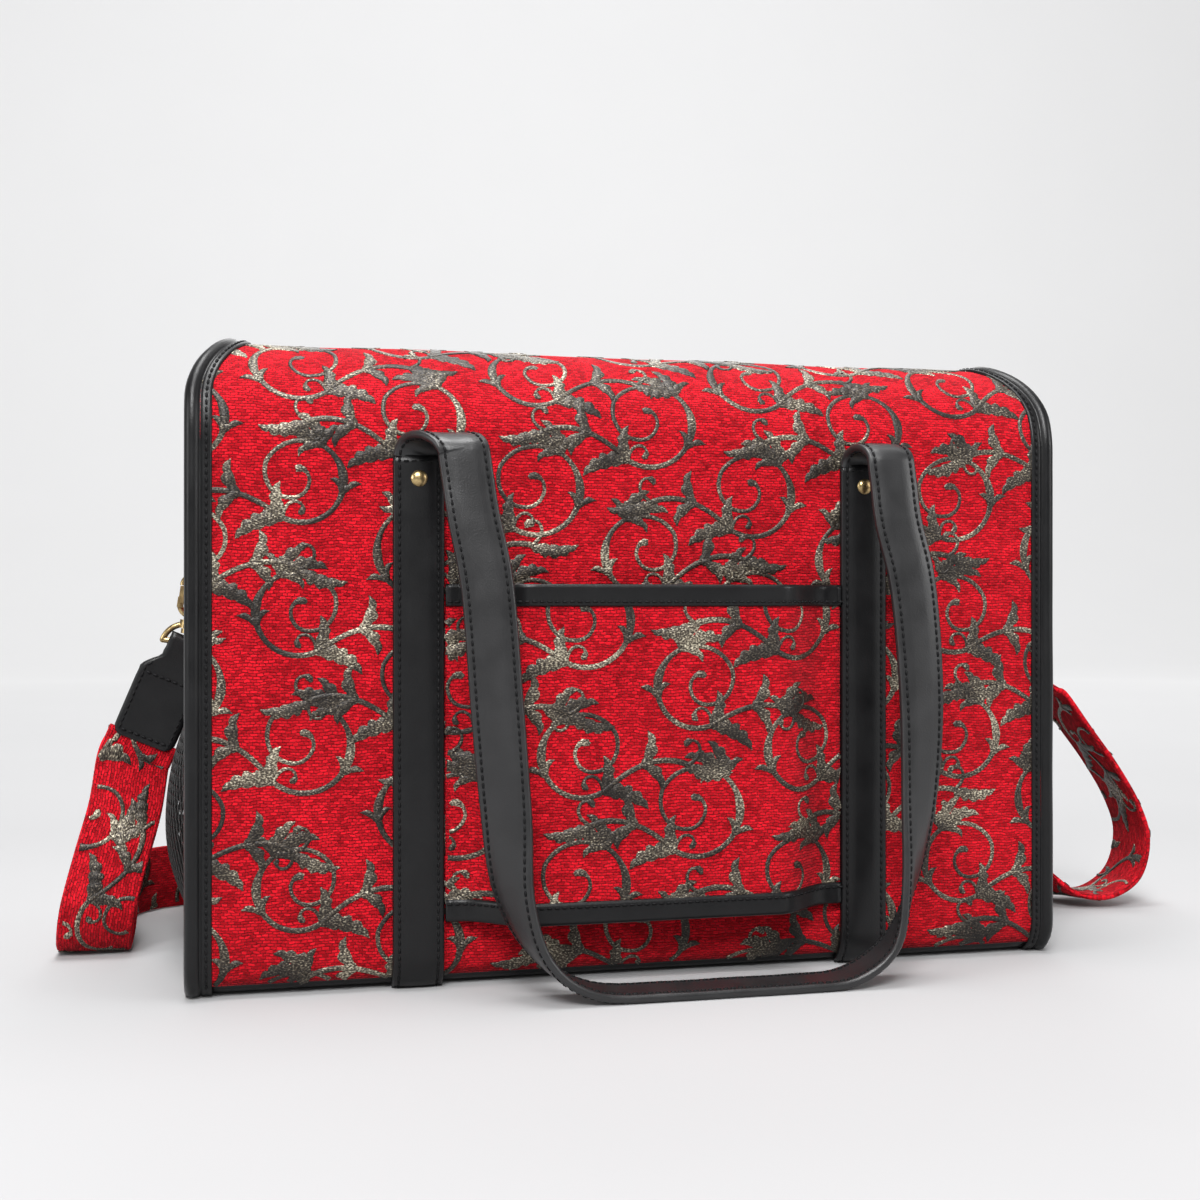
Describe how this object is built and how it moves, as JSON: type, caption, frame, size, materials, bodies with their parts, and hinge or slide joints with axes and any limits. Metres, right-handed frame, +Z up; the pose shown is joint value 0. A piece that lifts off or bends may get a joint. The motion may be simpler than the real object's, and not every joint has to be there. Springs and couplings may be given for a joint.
{
  "type": "carpet bag",
  "caption": "Box-shaped carpet travel bag with leather bindings, netted ends, a zipped top, a trolley sleeve, hanging handles and a clip-on shoulder strap.",
  "frame": {"origin": "centre of the base where the bag rests on the floor", "axes": "+X along the bag's length to the right end, -Y out of the back wall that carries the trolley sleeve, +Z up"},
  "size_m": [0.642, 0.331, 0.3238],
  "materials": {
    "carpet_fabric": "ribbed red chenille with woven scrolls",
    "black_leather": "smooth semi-gloss",
    "black_netting": "open knotted net",
    "black_tape": "woven tape with coil teeth",
    "stiff_board": "plain",
    "aged_brass": "antique satin"
  },
  "bodies": {
    "bag": {"back_panel": "carpet_fabric", "front_panel": "carpet_fabric", "left_end_panel": "carpet_fabric", "right_end_panel": "carpet_fabric", "trolley_sleeve": "carpet_fabric", "shoulder_strap": "carpet_fabric", "bottom_panel": "black_leather", "left_binding": "black_leather", "right_binding": "black_leather", "left_net_trim": "black_leather", "right_net_trim": "black_leather", "back_facing": "black_leather", "front_facing": "black_leather", "left_zipper_tab": "black_leather", "right_zipper_tab": "black_leather", "sleeve_top_binding": "black_leather", "sleeve_bottom_binding": "black_leather", "back_left_strip": "black_leather", "back_right_strip": "black_leather", "front_left_strip": "black_leather", "front_right_strip": "black_leather", "left_ring_tab": "black_leather", "right_ring_tab": "black_leather", "left_strap_end": "black_leather", "right_strap_end": "black_leather", "left_net": "black_netting", "right_net": "black_netting", "zipper_tape": "black_tape", "zipper_chain": "black_tape", "base_board": "stiff_board", "rivets": "aged_brass", "left_d_ring": "aged_brass", "right_d_ring": "aged_brass", "left_strap_ring": "aged_brass", "right_strap_ring": "aged_brass"},
    "back_handle_body": {"back_handle": "black_leather"},
    "front_handle_body": {"front_handle": "black_leather"},
    "left_slider_body": {"left_slider": "aged_brass"},
    "right_slider_body": {"right_slider": "aged_brass"},
    "left_pull_body": {"left_pull": "aged_brass"},
    "right_pull_body": {"right_pull": "aged_brass"},
    "left_hook_body": {"left_hook": "aged_brass"},
    "right_hook_body": {"right_hook": "aged_brass"},
    "left_gate_body": {"left_gate": "aged_brass"},
    "right_gate_body": {"right_gate": "aged_brass"}
  },
  "joints": [
    {"name": "back_handle_swing", "type": "hinge", "parent": "bag", "child": "back_handle_body", "pos_m": [0, -0.1313, 0.262], "axis": [-1, 0, 0], "range_deg": [0, 180]},
    {"name": "front_handle_swing", "type": "hinge", "parent": "bag", "child": "front_handle_body", "pos_m": [0, 0.1313, 0.262], "axis": [1, 0, 0], "range_deg": [0, 180]},
    {"name": "left_slider_slide", "type": "slide", "parent": "bag", "child": "left_slider_body", "axis": [-1, 0, 0], "range_m": [0, 0.144]},
    {"name": "right_slider_slide", "type": "slide", "parent": "bag", "child": "right_slider_body", "axis": [1, 0, 0], "range_m": [0, 0.144]},
    {"name": "left_pull_swing", "type": "hinge", "parent": "left_slider_body", "child": "left_pull_body", "pos_m": [-0.0145, 0, 0.3218], "axis": [0, 1, 0], "range_deg": [0, 150]},
    {"name": "right_pull_swing", "type": "hinge", "parent": "right_slider_body", "child": "right_pull_body", "pos_m": [0.0145, 0, 0.3218], "axis": [0, -1, 0], "range_deg": [0, 150]},
    {"name": "left_hook_swivel", "type": "hinge", "parent": "bag", "child": "left_hook_body", "pos_m": [-0.2245, 0, 0.199], "axis": [-0.1392, 0, -0.9903], "range_deg": [-25, 25]},
    {"name": "right_hook_swivel", "type": "hinge", "parent": "bag", "child": "right_hook_body", "pos_m": [0.2245, 0, 0.199], "axis": [0.1392, 0, -0.9903], "range_deg": [-25, 25]},
    {"name": "left_gate_swing", "type": "hinge", "parent": "left_hook_body", "child": "left_gate_body", "pos_m": [-0.23152, 0, 0.18928], "axis": [0, 1, 0], "range_deg": [0, 25], "stiffness_Nm_per_rad": 0.002, "springref_deg": -17.19},
    {"name": "right_gate_swing", "type": "hinge", "parent": "right_hook_body", "child": "right_gate_body", "pos_m": [0.23152, 0, 0.18928], "axis": [0, -1, 0], "range_deg": [0, 25], "stiffness_Nm_per_rad": 0.002, "springref_deg": -17.19}
  ]
}
